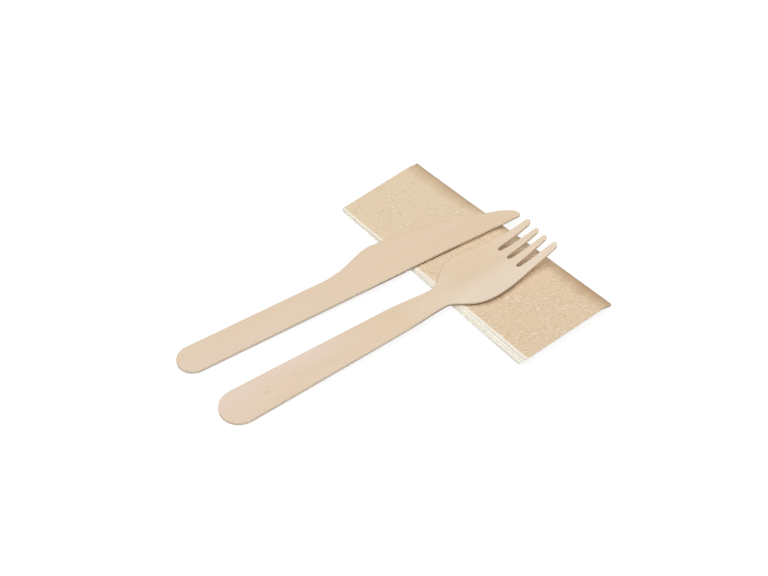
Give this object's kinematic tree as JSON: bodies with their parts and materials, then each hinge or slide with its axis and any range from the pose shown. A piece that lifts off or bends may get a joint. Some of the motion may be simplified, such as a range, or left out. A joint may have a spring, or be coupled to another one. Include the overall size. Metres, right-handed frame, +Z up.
{
  "type": "wooden cutlery pack",
  "caption": "Flat die-cut wooden knife and wooden fork with pressed, risen tines, lying side by side across a pleated brown paper napkin folded to a narrow pad.",
  "frame": {"origin": "Under the middle of the whole set, on the plane of the table.", "axes": "+X runs along the cutlery from the handles to the knife's tip and the fork's tines, +Y across it from the fork to the knife, +Z up."},
  "size_m": [0.1648, 0.1264, 0.0128],
  "materials": {
    "kraft_tissue": "unbleached embossed tissue, matt",
    "birch_knife": "smooth sanded birch veneer, uncoated",
    "birch_fork": "smooth sanded birch veneer, uncoated"
  },
  "bodies": {
    "root": {"napkin": "kraft_tissue", "knife": "birch_knife", "fork": "birch_fork"}
  },
  "joints": []
}
